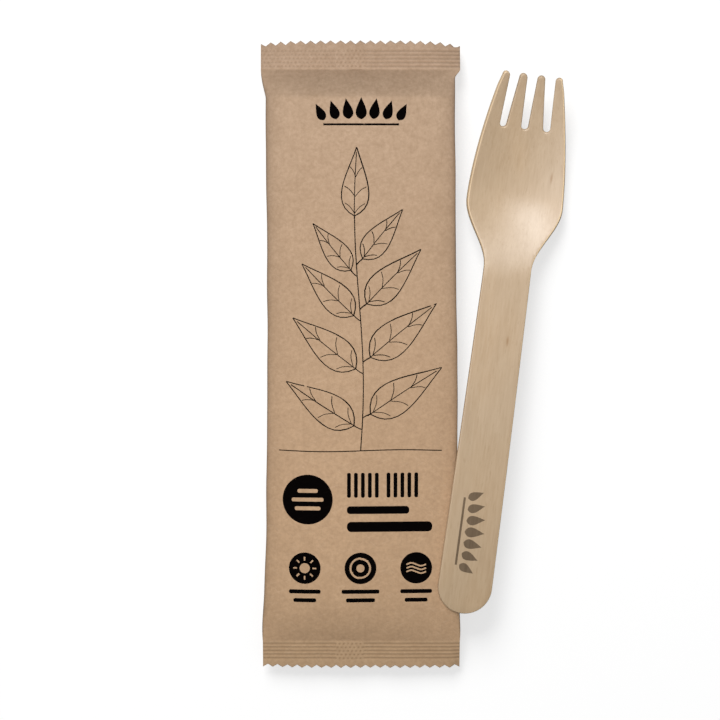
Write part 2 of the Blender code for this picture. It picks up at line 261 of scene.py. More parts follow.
def softbox(name, place, size, power):
    """A square area lamp that points at the middle of the object."""
    turn = (-Vector(place)).to_track_quat("-Z", "Y").to_euler()
    bpy.ops.object.light_add(type="AREA", location=place, rotation=turn)
    lamp = bpy.context.object
    lamp.name = name
    lamp.data.size = size
    lamp.data.energy = power
    lamp.visible_camera = False
    return lamp


key, paper_lamp, fork_lamp, fork_fill = [softbox(*lamp) for lamp in LAMPS]
print("key lamp", round(key.location.length, 2), "m away")

# %% [markdown]
# ## Kraft paper
#
# Kraft paper is unbleached wood pulp. From close up it is a felt of short fibres, some lighter and
# some darker than the sheet, and from a step away it is faintly clouded. It has no gloss. An image
# of paper would do, but noise gives the same look at any size: clouds, from a few centimetres down
# to a millimetre, and long thin fibres, made by stretching a noise one way. The sheet and the ink on
# it share this felt, so it is a node group. The sheet is paler and pinker towards the top end, and
# painted shade darkens it towards the bottom end. The flat ends are a shade darker, and down in the
# grooves of the jaws the paper gets painted shade, which an attribute on the mesh marks.

# %% Paper felt, as a group
CLOUDS = (
    # noise scale, its lowest and highest value, and the share of dark pulp there
    (28, 0.35, 0.65, 0.10),
    (110, 0.32, 0.68, 0.10),
    (380, 0.35, 0.68, 0.20),
    (1000, 0.36, 0.70, 0.34),
)
CLOUD_DETAIL = 3.0
CLOUD_ROUGHNESS = 0.6
FIBRES = (
    # which way they run, in radians, noise scale and tint
    (0.35, 1150, "Pale"),
    (1.45, 1310, "Dark"),
    (2.40, 1470, "Pale"),
)
FIBRE_STRETCH = (5.0, 0.42, 5.0)
FIBRE_RANGE = (0.60, 0.74)
FIBRE_SHARE = 0.13


def build_paper_felt():
    """Clouds, flecks and fibres of kraft pulp, as a tint for the sheet and a height for its bump."""
    inputs = {"Vector": "Vector", "Sheet": "Color", "Dark": "Color", "Pale": "Color", "Strength": "Float"}
    group, group_in, group_out = new_group("paper felt", inputs, {"Color": "Color", "Height": "Float"})
    vector = group_in.outputs["Vector"]
    strength = group_in.outputs["Strength"]
    colour = group_in.outputs["Sheet"]
    for scale, low, high, share in CLOUDS:
        noise_here = noise_of(group, vector, scale, CLOUD_DETAIL, CLOUD_ROUGHNESS)
        clouds = ramp(group, noise_here, low, high, 0.0, share)
        mask = add_math(group, "MULTIPLY", clouds, strength)
        colour = mix_colours(group, mask, colour, group_in.outputs["Dark"])
    height = clouds
    for turn, scale, tint in FIBRES:
        noise_here = noise_of(group, stretched(group, vector, turn, FIBRE_STRETCH), scale, 1.0)
        streaks = ramp(group, noise_here, *FIBRE_RANGE, 0.0, FIBRE_SHARE)
        mask = add_math(group, "MULTIPLY", streaks, strength)
        colour = mix_colours(group, mask, colour, group_in.outputs[tint])
        height = add_math(group, "ADD", height, streaks)
    group.links.new(colour, group_out.inputs["Color"])
    group.links.new(height, group_out.inputs["Height"])
    return group


paper_felt = build_paper_felt()
print("paper felt:", len(paper_felt.nodes), "nodes")

# %% Kraft paper and ink
# The sheet's colour along the pack: paler and pinker to the top, and painted shade that darkens it towards
# the bottom end, where the light falls off over the lower shoulder.
KRAFT_ALONG_WITH_PAINTED_SHADE = (
    # share of the pack's length from its bottom end, and the sheet's colour there
    (0.00, (0.545, 0.361, 0.214, 1)),
    (0.25, (0.580, 0.382, 0.230, 1)),
    (0.55, (0.560, 0.379, 0.242, 1)),
    (0.92, (0.602, 0.425, 0.292, 1)),
)
# A shade darker on each flat end, from the edge of its band outwards.
SEAL_TINT = ((0.95, 0.975, 0.975, 1), (0.94, 0.945, 0.975, 1))
# Painted shade down in the grooves of the jaws, and the value of the attribute at which it is full.
GROOVE_PAINTED_SHADE = (0.55, 0.52, 0.49, 1)
DEEPEST_GROOVE = 1.9
KRAFT_DARK = (0.300, 0.185, 0.105, 1)
KRAFT_PALE = (0.700, 0.520, 0.370, 1)
INK = (0.0022, 0.0016, 0.0016, 1)
INK_WORN = (0.012, 0.008, 0.006, 1)
FELT_STRENGTH = 0.95
PRESSED_BAND = 8.6 * MM
SEAL_EDGES = (pack_low.y + PRESSED_BAND, pack_high.y - PRESSED_BAND)
SEAL_EDGE_FADE = 0.6 * MM
FELT_BUMP = 0.05 * MM


def place_group(tree, group, vector, **values):
    node = tree.nodes.new("ShaderNodeGroup")
    node.node_tree = group
    tree.links.new(vector, node.inputs["Vector"])
    for name, value in values.items():
        feed(tree, value, node.inputs[name])
    return node


def bump_from(tree, shader, height, distance):
    bump = add_node(tree, "ShaderNodeBump", Distance=distance, Strength=1.0)
    tree.links.new(height, bump.inputs["Height"])
    tree.links.new(bump.outputs["Normal"], shader.inputs["Normal"])


def kraft_paper():
    """Uncoated kraft, paler and pinker to the top of the pack, with painted shade towards its bottom end
    and down in the grooves of the jaws, and a shade darker on the flat ends.
    """
    material, tree, shader = new_material("kraft paper", 0.88, 0.25)
    vector = object_vector(tree)
    y = y_of(tree, vector)
    along = tree.nodes.new("ShaderNodeValToRGB")
    along.color_ramp.elements.new(KRAFT_ALONG_WITH_PAINTED_SHADE[1][0])
    along.color_ramp.elements.new(KRAFT_ALONG_WITH_PAINTED_SHADE[2][0])
    for stop, (share, colour) in zip(along.color_ramp.elements, KRAFT_ALONG_WITH_PAINTED_SHADE):
        stop.position = share
        stop.color = colour
    tree.links.new(ramp(tree, y, pack_low.y, pack_high.y), along.inputs["Fac"])
    sheet = along.outputs["Color"]
    # The flat ends are tinted a shade darker.
    for tint, edge, end in zip(SEAL_TINT, SEAL_EDGES, (-1, 1)):
        on_flat_end = ramp(tree, y, edge, edge + end * SEAL_EDGE_FADE)
        sheet = mix_colours(tree, on_flat_end, sheet, tint, "MULTIPLY")
    # Painted shade: the paper is painted darker down in the grooves, by the "pressed" attribute.
    depth = ramp(tree, attribute_of(tree, "pressed"), 0, DEEPEST_GROOVE)
    sheet = mix_colours(tree, depth, sheet, GROOVE_PAINTED_SHADE, "MULTIPLY")
    tints = {"Sheet": sheet, "Dark": KRAFT_DARK, "Pale": KRAFT_PALE}
    felt = place_group(tree, paper_felt, vector, Strength=FELT_STRENGTH, **tints)
    tree.links.new(felt.outputs["Color"], shader.inputs["Base Color"])
    bump_from(tree, shader, felt.outputs["Height"], FELT_BUMP)
    return material


def black_ink():
    """Flexo ink on bare kraft: black, matt, and a little thin where a fibre stands up."""
    material, tree, shader = new_material("black ink", 1.0, 0.0)
    tints = {"Sheet": INK, "Dark": INK, "Pale": INK_WORN}
    felt = place_group(tree, paper_felt, object_vector(tree), Strength=1.0, **tints)
    tree.links.new(felt.outputs["Color"], shader.inputs["Base Color"])
    return material


kraft = kraft_paper()
ink = black_ink()
print("materials:", kraft.name, "and", ink.name)

# %% [markdown]
# ## The form of the pack
#
# A flow wrap starts as a flat sheet off a reel. The machine rolls it into a tube round the forks,
# joins its two long edges in a fin down the back, presses the tube flat between ribbed jaws at both
# ends, and cuts it there with a zigzag knife. So the paper can't stretch: its girth stays the same,
# and where the forks hold the tube open it is narrower than at its flat ends. That one rule gives
# the pack its outline, and the functions below follow it. Each one answers a plain question about a
# place on the pack, so that the print can ask for the height of the paper under it later.

# %% Sizes of the pack
PACK_LENGTH = pack_high.y - pack_low.y
TUBE_WIDTH = 58.4 * MM
PLY = 0.15 * MM
FIN_THICKNESS = 0.3 * MM
BACK_CLEARANCE = 0.2 * MM
THICKNESS_AT_HEADS = 11.5 * MM
THICKNESS_AT_HANDLES = 9.2 * MM
TOP_SHOULDER = 8.4 * MM
TOP_SLOPE = 1.2
BOTTOM_SHOULDER = 15.0 * MM
BOTTOM_SLOPE = 1.9
SIDE_LINE_SHARE = 0.44
GIRTH_FACTOR = 1.28
PACK_BOW = 0.5 * MM
STACK_VALLEY = 0.8 * MM
VALLEY_PLACE = 0.45
VALLEY_WIDTH = 0.42
TUCK_DEPTH = 1.5 * MM
TUCK_REACH = 2.6 * MM
TUCK_FADE = 30 * MM
FLARE = 0.8 * MM
FLARE_REACH = 34 * MM
RIGHT_FLARE = 0.5 * MM
RIGHT_REACH = 120 * MM
WANDER = 0.20 * MM

SEAL_HEIGHT = 8.4 * MM
TOP_SEAL_LIFT = 4.3 * MM
BOTTOM_SEAL_LIFT = 4.4 * MM
BOTTOM_SEAL_DROOP = 0.9 * MM
TOOTH_COUNT = 20
TOOTH_DEPTH = 1.15 * MM
RIB_COUNT = 5
RIB_PITCH = 1.11 * MM
RIB_MARGIN = 0.4 * MM
TOP_RIB_DEPTH = 0.20 * MM
BOTTOM_RIB_DEPTH = 0.26 * MM

TOP_Y = PACK_LENGTH / 2
BOTTOM_Y = -PACK_LENGTH / 2
TOP_SEAL_Y = TOP_Y - SEAL_HEIGHT
BOTTOM_SEAL_Y = BOTTOM_Y + SEAL_HEIGHT
print("pack length, mm:", round(PACK_LENGTH / MM, 1))

# %% The tube's section


def clamp(x):
    return min(max(x, 0.0), 1.0)


def ease(x):
    """0 below 0, 1 above 1, and a smooth step between."""
    x = clamp(x)
    return x * x * (3 - 2 * x)


def blend(a, b, share):
    return a + (b - a) * share


def slow_noise(x, y, wide, long, seed):
    """Smooth noise from about -1 to 1, whose waves are wide across the pack and long along it."""
    return noise.noise(Vector((x / wide, y / long, seed)))


def along_body(y):
    """0 where the body starts at the bottom seal, and 1 where it ends at the top seal."""
    return (y - BOTTOM_SEAL_Y) / (TOP_SEAL_Y - BOTTOM_SEAL_Y)


def past_seal(y):
    """How far y lies past the body's nearer end, on a flat end. It is below 0 on the body."""
    return max(y - TOP_SEAL_Y, BOTTOM_SEAL_Y - y)


def fill_at(y):
    """How full the tube is: 0 at a crimped end, 1 where the forks hold it open."""
    from_top = clamp((TOP_SEAL_Y - y) / TOP_SHOULDER)
    from_bottom = clamp((y - BOTTOM_SEAL_Y) / BOTTOM_SHOULDER)
    return (1 - (1 - from_top) ** TOP_SLOPE) * (1 - (1 - from_bottom) ** BOTTOM_SLOPE)


def stack_at(y):
    """Thickness of the stack of forks, whose heads lie at the top end."""
    return blend(THICKNESS_AT_HANDLES, THICKNESS_AT_HEADS, ease(along_body(y)))


def thickness_at(y):
    return stack_at(y) * fill_at(y)


def half_width_at(y, side):
    """Half the tube's width, to its left (side -1) or its right (side 1, tucked in at the top)."""
    half = (TUBE_WIDTH - GIRTH_FACTOR * thickness_at(y) ** 2 / TUBE_WIDTH) / 2
    half += FLARE * fill_at(y) * (1 - ease((y - BOTTOM_SEAL_Y) / FLARE_REACH))
    wander = WANDER * slow_noise(5 if side > 0 else -5, y, 1, 16 * MM, 0.7)
    if side > 0:
        half += RIGHT_FLARE * (1 - ease((y - BOTTOM_SEAL_Y) / RIGHT_REACH))
        tucked = TUBE_WIDTH / 2 - TUCK_DEPTH * ease((TOP_SEAL_Y - y) / TUCK_REACH)
        half = min(half, blend(half, tucked, ease(y / TUCK_FADE)))
    return half + wander * fill_at(y)


def middle_at(y):
    """x of the tube's middle. It bows out a little to the right, half way between the seals."""
    return PACK_BOW * math.sin(math.pi * clamp(along_body(y))) ** 2


def place_across(u, y):
    """x of a place on the tube. u runs from -1 at its left edge to 1 at its right."""
    return middle_at(y) + u * half_width_at(y, u)


def share_across(x, y):
    """u of a place on the tube, the reverse of place_across."""
    offset = x - middle_at(y)
    return offset / half_width_at(y, offset)


def side_line_at(y):
    """Height of the tube's side edges, and of the flat ends."""
    flat = TOP_SEAL_LIFT if y > 0 else BOTTOM_SEAL_LIFT
    if y < BOTTOM_SEAL_Y:
        flat -= BOTTOM_SEAL_DROOP * (BOTTOM_SEAL_Y - y) / SEAL_HEIGHT
    body = FIN_THICKNESS + BACK_CLEARANCE + SIDE_LINE_SHARE * stack_at(y)
    return blend(flat, body, fill_at(y))


print("width at the heads, mm:", round(2 * half_width_at(0.04, -1) / MM, 1))

# %% Pleats and dents
GATHERS = (
    # where they start, how many pleats and how far they are shifted across
    (TOP_SEAL_Y, 5, 0.4),
    (BOTTOM_SEAL_Y, 4, 1.7),
)
GATHER_DEPTH = 0.30 * MM
GATHER_REACH = 16 * MM
DENTS = (
    # depth, how wide and how long they are, and the seed of their noise
    (0.20 * MM, 19 * MM, 30 * MM, 3.1),
    (0.05 * MM, 7 * MM, 11 * MM, 8.7),
)
DENT_FADE = 6
CREASE_DEPTH = 0.05 * MM
CREASE_SLANT = (9 * MM, 16 * MM)
CREASE_LENGTH = 24 * MM
CREASE_SHARPNESS = 6


def gathers(u, y):
    """Soft pleats that run out of the crimped ends and die away."""
    height = 0.0
    for seal_y, count, shift in GATHERS:
        away = abs(y - seal_y) / GATHER_REACH
        if away < 1:
            swell = math.sin(math.pi * away) * (1 - away)
            height += swell * math.cos(math.pi * count * u + shift)
    return GATHER_DEPTH * height * (1 - u * u)


def dents(x, y):
    """What handling leaves in thin paper over a stack: slow dents, and short faint creases."""
    height = sum(depth * slow_noise(x, y, wide, long, seed) for depth, wide, long, seed in DENTS)
    across = x / CREASE_SLANT[0] + y / CREASE_SLANT[1]
    crease = 1 - CREASE_SHARPNESS * abs(slow_noise(across, y, 1, CREASE_LENGTH, 5.5))
    return height + CREASE_DEPTH * max(crease, 0)


print("pleats reach", GATHER_REACH / MM, "mm into the body")

# %% Grooves of the jaws
GROOVE_SHARPNESS = 1.4
KNURL_TOP = 0.60
KNURL_BOTTOM = 0.12
KNURL_PITCH = 1.15 * MM
KNURL_FADE = 40 * MM
FIN_LEFT = -7.4 * MM
FIN_RIGHT = 0.8 * MM
FIN_KNURL = 0.7
FIN_RIB_PITCH = 1.25 * MM


def groove_at(x, y):
    """Share of a full groove that the jaws pressed here. Cross ribs break the grooves up on the left,
    and into checks over the fin's plies."""
    across = (past_seal(y) - RIB_MARGIN) / RIB_PITCH
    if not 0 <= across <= RIB_COUNT:
        return 0.0
    groove = (0.5 - 0.5 * math.cos(2 * math.pi * across)) ** GROOVE_SHARPNESS
    knurl = (KNURL_TOP if y > 0 else KNURL_BOTTOM) * ease(0.5 - x / KNURL_FADE)
    pitch = KNURL_PITCH
    if FIN_LEFT < x < FIN_RIGHT:
        knurl = FIN_KNURL
        pitch = FIN_RIB_PITCH
    row_shift = math.pi * (int(across) % 2)
    return groove * (1 - knurl + knurl * math.cos(2 * math.pi * x / pitch + row_shift))


def rib_at(x, y):
    return -(TOP_RIB_DEPTH if y > 0 else BOTTOM_RIB_DEPTH) * groove_at(x, y)


print("ribs reach", RIB_COUNT * RIB_PITCH / MM, "mm into each end")

# %% Corners and waves of the flat ends
CORNERS = (
    # end and side, as the signs of y and x, how far the corner bends back, and how wide it is
    (1, 1, 2.2 * MM, 10 * MM),
    (1, -1, 0.9 * MM, 14 * MM),
    (-1, 1, 1.3 * MM, 3.2 * MM),
)
FLAT_WAVE = 0.35 * MM
FLAT_WAVE_SIZE = (15 * MM, 1000 / 3 * MM)


def corner_bend(x, y):
    """The corners of the flat ends bend back, away from the front."""
    bend = 0.0
    for end, side, depth, width in CORNERS:
        if end * y > 0:
            bend += depth * clamp(1 - (TUBE_WIDTH / 2 - side * x) / width) ** 2
    return bend * max(past_seal(y), 0) / SEAL_HEIGHT


def flat_wave(x, y):
    """The flat ends aren't quite flat either."""
    wave = FLAT_WAVE * slow_noise(x, y, *FLAT_WAVE_SIZE, 1.3)
    return wave * max(past_seal(y), 0) / SEAL_HEIGHT


print(len(CORNERS), "corners bend back")

# %% Heights of the front and the back
FRONT_BULGE = 2.5
BACK_BULGE = 3
BACK_FLATNESS = 1.12


def front_at(u, y):
    """Height of the paper on the pack's front, at a share u across it."""
    x = place_across(u, y)
    bulge = (1 - abs(u) ** FRONT_BULGE) ** (1 / FRONT_BULGE)
    full = fill_at(y)
    valley = STACK_VALLEY * math.exp(-(((u - VALLEY_PLACE) / VALLEY_WIDTH) ** 2)) * full
    height = side_line_at(y) + PLY + (1 - SIDE_LINE_SHARE) * thickness_at(y) * bulge
    height += gathers(u, y) - valley + dents(x, y) * full * (1 - abs(u) ** DENT_FADE)
    return height + rib_at(x, y) - corner_bend(x, y) + flat_wave(x, y)


def back_at(u, y):
    """Height of the paper on the pack's back, which is flatter than the front."""
    x = place_across(u, y)
    bulge = min(1.0, BACK_FLATNESS * (1 - abs(u) ** BACK_BULGE) ** (1 / BACK_BULGE))
    drop = SIDE_LINE_SHARE * thickness_at(y) * bulge
    return side_line_at(y) - PLY - drop + rib_at(x, y) - corner_bend(x, y) + flat_wave(x, y)


print("height of the front in the middle, mm:", round(front_at(0, 0) / MM, 2))

# %% [markdown]
# ## The paper tube
#
# The paper is modelled as it is made: a flat grid, which is the sheet, gets wrapped round. Half of
# its columns become the front and half the back, and its two long edges meet at the pack's left
# edge, where they are merged. Cloth simulation could crumple the sheet too, but this pack is taut
# and nearly smooth, and the functions keep its ribs and its teeth exactly where they belong. The
# rows lie close together across the ribs and further apart along the body.

# %% Rows of the sheet
HALF_COLUMNS = 8 * TOOTH_COUNT
RIB_STEP = 0.18 * MM
SHOULDER_STEP = 0.45 * MM
BODY_STEP = 1.3 * MM
BELOW_SHOULDER = 4 * MM


def steps(start, end, size):
    """Places from start towards end, which is left out, no further apart than size."""
    count = math.ceil(abs(end - start) / size)
    return [blend(start, end, i / count) for i in range(count)]


def row_places():
    """Every row's y, from the bottom cut to the top cut."""
    low_body = BOTTOM_SEAL_Y + BOTTOM_SHOULDER
    high_body = TOP_SEAL_Y - TOP_SHOULDER - BELOW_SHOULDER
    rows = [BOTTOM_Y] + steps(BOTTOM_Y + RIB_STEP, BOTTOM_SEAL_Y, RIB_STEP)
    rows += steps(BOTTOM_SEAL_Y, low_body, SHOULDER_STEP)
    rows += steps(low_body, high_body, BODY_STEP)
    rows += steps(high_body, TOP_SEAL_Y, SHOULDER_STEP)
    rows += steps(TOP_SEAL_Y, TOP_Y - RIB_STEP, RIB_STEP)
    return rows + [TOP_Y - RIB_STEP, TOP_Y]


ROWS = row_places()
print(len(ROWS), "rows of", 2 * HALF_COLUMNS, "columns")

# %% The knife's cut
CUT_BAND = 1.9 * MM
BOTTOM_TEETH = 0.85
TOOTH_WEAR = (0.9, 0.2)
TOP_LEFT_DROP = 1.0 * MM
TOP_RIGHT_DROP = 1.5 * MM
BOTTOM_LEFT_DROP = 0.35 * MM


def knife(u, top):
    """How far short of the pack's full length the knife cut the paper at u."""
    phase = (u + 1) / 2 * TOOTH_COUNT
    tooth = abs(2 * (phase - math.floor(phase)) - 1)
    wear = TOOTH_WEAR[0] + TOOTH_WEAR[1] * noise.noise(Vector((phase * 0.7, 4.0, top)))
    depth = (1.0 if top else BOTTOM_TEETH) * TOOTH_DEPTH * (1 - tooth) * wear
    if top:
        return depth + (TOP_LEFT_DROP if u < 0 else TOP_RIGHT_DROP) * abs(u) ** 5
    return depth + BOTTOM_LEFT_DROP * ease((-u - 0.5) * 2)


def cut_to_teeth(u, y):
    """Rows near an end are drawn back so that the last one follows the knife."""
    if y > TOP_Y - CUT_BAND:
        return y - knife(u, 1) * (y - TOP_Y + CUT_BAND) / CUT_BAND
    if y < BOTTOM_Y + CUT_BAND:
        return y + knife(u, 0) * (BOTTOM_Y + CUT_BAND - y) / CUT_BAND
    return y


print("first tooth is", round(knife(-0.95, 1) / MM, 2), "mm deep")

# %% Wrap the sheet into a tube
GRID_HALF = 1.0
EDGE_SHARE = 0.999999
CROWD_TO_EDGES = 0.75
# How much painted shade the fin's checks get, at the top and at the bottom end.
CHECK_PAINTED_SHADE = (1.4, DEEPEST_GROOVE)


def wrapped(column, row):
    """Where a point of the flat sheet goes on the pack."""
    y = ROWS[row]
    front = column <= HALF_COLUMNS
    u = 2 * column / HALF_COLUMNS - 1 if front else 3 - 2 * column / HALF_COLUMNS
    u = blend(u, math.sin(math.pi * u / 2), CROWD_TO_EDGES * fill_at(y))
    x = place_across(u, y)
    on_edge = row in (0, len(ROWS) - 1) or abs(u) > EDGE_SHARE
    if on_edge:
        z = (front_at(u, y) + back_at(u, y)) / 2
    else:
        z = front_at(u, y) if front else back_at(u, y)
    return x, cut_to_teeth(u, y), z


def painted_groove_shade_at(x, y):
    """How much painted shade a groove gets here: most over the fin, so that its checks show."""
    if FIN_LEFT < x < FIN_RIGHT:
        return groove_at(x, y) * CHECK_PAINTED_SHADE[0 if y > 0 else 1]
    return groove_at(x, y)


def finish_mesh(piece, smooth_angle):
    """Merges doubles, turns the faces outwards and shades the piece smooth up to an angle in degrees."""
    bpy.context.view_layer.objects.active = piece
    bpy.ops.object.mode_set(mode="EDIT")
    bpy.ops.mesh.select_all(action="SELECT")
    bpy.ops.mesh.remove_doubles(threshold=0.002 * MM)
    bpy.ops.mesh.normals_make_consistent(inside=False)
    bpy.ops.object.mode_set(mode="OBJECT")
    piece.select_set(True)
    bpy.ops.object.shade_smooth_by_angle(angle=math.radians(smooth_angle))
    deselect_all()


deselect_all()
bpy.ops.mesh.primitive_grid_add(
    x_subdivisions=2 * HALF_COLUMNS, y_subdivisions=len(ROWS) - 1, size=2 * GRID_HALF, location=(0, 0, 0)
)
paper = bpy.context.object
paper.name = "paper_wrap"
# The "pressed" attribute holds the painted shade of the grooves.
groove_shade_attribute = paper.data.attributes.new("pressed", "FLOAT", "POINT")
for i, vert in enumerate(paper.data.vertices):
    column = round((1 + vert.co.x / GRID_HALF) * HALF_COLUMNS)
    row = round((1 + vert.co.y / GRID_HALF) / 2 * (len(ROWS) - 1))
    vert.co = wrapped(column, row)
    groove_shade_attribute.data[i].value = painted_groove_shade_at(vert.co.x, ROWS[row])
finish_mesh(paper, 50)
paper.data.materials.append(kraft)
print("paper wrap:", len(paper.data.polygons), "faces")

# %% [markdown]
# ## The fin seam
#
# The sheet's two long edges are sealed to each other, and the double edge is folded flat against
# the back, to the pack's left. It is a strip of two plies, and the jaws press it with the ends. It
# could be part of the tube, but a strip of its own, let a little into the back, is simpler and
# looks the same. It is a box, cut across by bisecting, whose points are then moved on to the back.

# %% Fin seam
FIN_INSET = 0.06 * MM
FIN_END = 0.5 * MM
FIN_RIB_STEP = 0.28 * MM
FIN_BODY_STEP = 1.6 * MM
FIN_COLUMN = 1.0 * MM


def select_all_geometry():
    bpy.ops.mesh.select_all(action="SELECT")


def slice_mesh(places, axis):
    """Cuts the mesh in edit mode with a plane at each place along an axis."""
    normal = [0.0, 0.0, 0.0]
    normal[axis] = 1.0
    for place in places:
        point = [0.0, 0.0, 0.0]
        point[axis] = place
        select_all_geometry()
        bpy.ops.mesh.bisect(plane_co=point, plane_no=normal)


deselect_all()
fin_low_y = BOTTOM_Y + TOOTH_DEPTH + FIN_END
fin_high_y = TOP_Y - TOOTH_DEPTH - FIN_END
fin_centre = ((FIN_LEFT + FIN_RIGHT) / 2, (fin_low_y + fin_high_y) / 2, 0)
bpy.ops.mesh.primitive_cube_add(size=1, location=fin_centre)
fin = bpy.context.object
fin.name = "fin_seam"
fin.scale = (FIN_RIGHT - FIN_LEFT, fin_high_y - fin_low_y, 1)
bpy.ops.object.transform_apply(location=True, rotation=False, scale=True)
bpy.ops.object.mode_set(mode="EDIT")
slice_mesh(steps(fin_low_y, BOTTOM_SEAL_Y, FIN_RIB_STEP)[1:], 1)
slice_mesh(steps(TOP_SEAL_Y, fin_high_y, FIN_RIB_STEP), 1)
slice_mesh(steps(BOTTOM_SEAL_Y, TOP_SEAL_Y, FIN_BODY_STEP), 1)
slice_mesh(steps(FIN_LEFT, FIN_RIGHT, FIN_COLUMN)[1:], 0)
bpy.ops.object.mode_set(mode="OBJECT")
for vert in fin.data.vertices:
    base = back_at(share_across(vert.co.x, vert.co.y), vert.co.y)
    vert.co.z = base + (FIN_INSET if vert.co.z > 0 else -FIN_THICKNESS)
finish_mesh(fin, 35)
fin.data.materials.append(kraft)
print("fin seam:", len(fin.data.polygons), "faces")

# %% [markdown]
# ## The print
#
# The pack is printed in black only. This print is a plain one of the pack's own: a leafy shoot in
# thin line, a stroke for each of its ten forks, bars, and discs with simple signs. Ink could be a mask
# in the paper's material, but thin meshes keep their edges sharp at any distance. Each shape is
# made flat, sliced so finely that it can bend, given the thickness of a hair, and then laid on the
# paper: a ray from above finds the height of the paper under each of its points.

# %% Laying ink on the paper
INK_RISE = 0.035 * MM
INK_SINK = 0.06 * MM
SLICE = 0.9 * MM
ABOVE = 50 * MM
SLAB = 1 * MM
BAR_ROUNDING = 0.42
DISC_POINTS = 56
LINE_POINTS = 12


def top_of(piece):
    """Gives a function of x and y that tells the height of a piece's upper side."""
    corners = [vert.co.copy() for vert in piece.data.vertices]
    tree = BVHTree.FromPolygons(corners, [tuple(face.vertices) for face in piece.data.polygons])

    def height(x, y):
        return tree.ray_cast(Vector((x, y, ABOVE)), Vector((0, 0, -1)))[0].z

    return height


paper_height = top_of(paper)


def lay_on(ground, piece, level=0):
    """Lifts a flat piece on to the paper or the fork. A higher level lies on top of a lower one."""
    for vert in piece.data.vertices:
        rise = INK_RISE * (1 + level) if vert.co.z > 0 else -INK_SINK
        vert.co.z = ground(vert.co.x, vert.co.y) + rise


def thicken(thickness):
    """Makes the flat faces that are being edited a closed slab, around height zero."""
    select_all_geometry()
    bpy.ops.mesh.extrude_region_move(TRANSFORM_OT_translate={"value": (0, 0, thickness)})
    select_all_geometry()
    bpy.ops.transform.translate(value=(0, 0, -thickness / 2))


print("paper is", round(paper_height(0, 0) / MM, 2), "mm high in the middle")

# %% Bars and discs


def slice_finely(piece):
    """Cuts a flat piece both ways, so that it can bend, and makes it a slab."""
    low = [min(v.co[axis] for v in piece.data.vertices) for axis in (0, 1)]
    high = [max(v.co[axis] for v in piece.data.vertices) for axis in (0, 1)]
    bpy.ops.object.mode_set(mode="EDIT")
    for axis in (0, 1):
        slice_mesh(steps(low[axis], high[axis], SLICE)[1:], axis)
    thicken(SLAB)
    bpy.ops.object.mode_set(mode="OBJECT")


def bar(x, y, width, height, level=0):
    """A bar with round ends, centred at x, y."""
    deselect_all()
    bpy.ops.mesh.primitive_plane_add(size=1, location=(x, y, 0))
    piece = bpy.context.object
    piece.scale = (width, height, 1)
    bpy.ops.object.transform_apply(location=True, rotation=False, scale=True)
    bpy.ops.object.mode_set(mode="EDIT")
    select_all_geometry()
    bpy.ops.mesh.bevel(offset=BAR_ROUNDING * min(width, height), segments=5, affect="VERTICES")
    bpy.ops.object.mode_set(mode="OBJECT")
    slice_finely(piece)
    lay_on(paper_height, piece, level)
    return piece


def flat_circle(points, radius, x=0, y=0):
    deselect_all()
    place = (x, y, 0)
    bpy.ops.mesh.primitive_circle_add(vertices=points, radius=radius, fill_type="NGON", location=place)
    return bpy.context.object


def disc(x, y, radius, level=0):
    piece = flat_circle(DISC_POINTS, radius, x, y)
    bpy.ops.object.transform_apply(location=True, rotation=False, scale=False)
    slice_finely(piece)
    lay_on(paper_height, piece, level)
    return piece


def drawn_line(points, width, closed=False, level=0, pull=None, ground=paper_height):
    """A smooth line through points, as a flat band of ink. pull gives a two-point line its handles."""
    curve = bpy.data.curves.new("line", "CURVE")
    curve.dimensions = "3D"
    spline = curve.splines.new("BEZIER")
    spline.bezier_points.add(len(points) - 1)
    for knot, (x, y) in zip(spline.bezier_points, points):
        knot.co = (x, y, 0)
        knot.handle_left_type = knot.handle_right_type = "FREE" if pull else "AUTO"
    if pull:
        for knot, (x, y) in zip(spline.bezier_points, pull):
            knot.handle_left = knot.handle_right = (x, y, 0)
    spline.use_cyclic_u = closed
    curve.resolution_u = LINE_POINTS
    curve.bevel_depth = width / 2
    curve.bevel_resolution = 1
    curve.use_fill_caps = True
    piece = bpy.data.objects.new("line", curve)
    bpy.context.scene.collection.objects.link(piece)
    deselect_all()
    piece.select_set(True)
    bpy.context.view_layer.objects.active = piece
    bpy.ops.object.convert(target="MESH")
    lay_on(ground, bpy.context.object, level)
    return bpy.context.object


def join_print(name, parts, material):
    """Joins ink that belongs together into one piece."""
    deselect_all()
    for part in parts:
        part.select_set(True)
    bpy.context.view_layer.objects.active = parts[0]
    bpy.ops.object.join()
    piece = bpy.context.object
    piece.name = name
    piece.data.materials.clear()
    piece.data.materials.append(material)
    finish_mesh(piece, 60)
    return piece


print("bars, discs and lines can be drawn")

# %% Leaves
# Places on a leaf are shares along its length and across its width.
LEAF_HIPS = (0.18, 0.96)
LEAF_NECK = (0.62, 0.30)
LEAF_HALF = 20
SOLID_LEAF_WIDTH = 0.50
LINE_LEAF_WIDTH = 0.40
LINE = 0.36 * MM
MIDRIB = ((-0.04, 0), (0.5, 0.02), (0.93, 0))
MIDRIB_LINE = 0.85 * LINE
VEINS = 3
VEIN_SPAN = (0.24, 0.74)
VEIN_ROOT = -0.13
VEIN_BEND = (-0.03, 0.45)
VEIN_TIP = (0.015, 0.84)
VEIN_LINE = 0.7 * LINE


def leaf_frame(base, angle, length, width):
    """Gives the place of a point along and across a leaf, both as shares of its length and width."""
    turn = Matrix.Rotation(angle, 2)

    def place(along, across):
        offset = turn @ Vector((along * length, across * width))
        return base[0] + offset.x, base[1] + offset.y

    return place


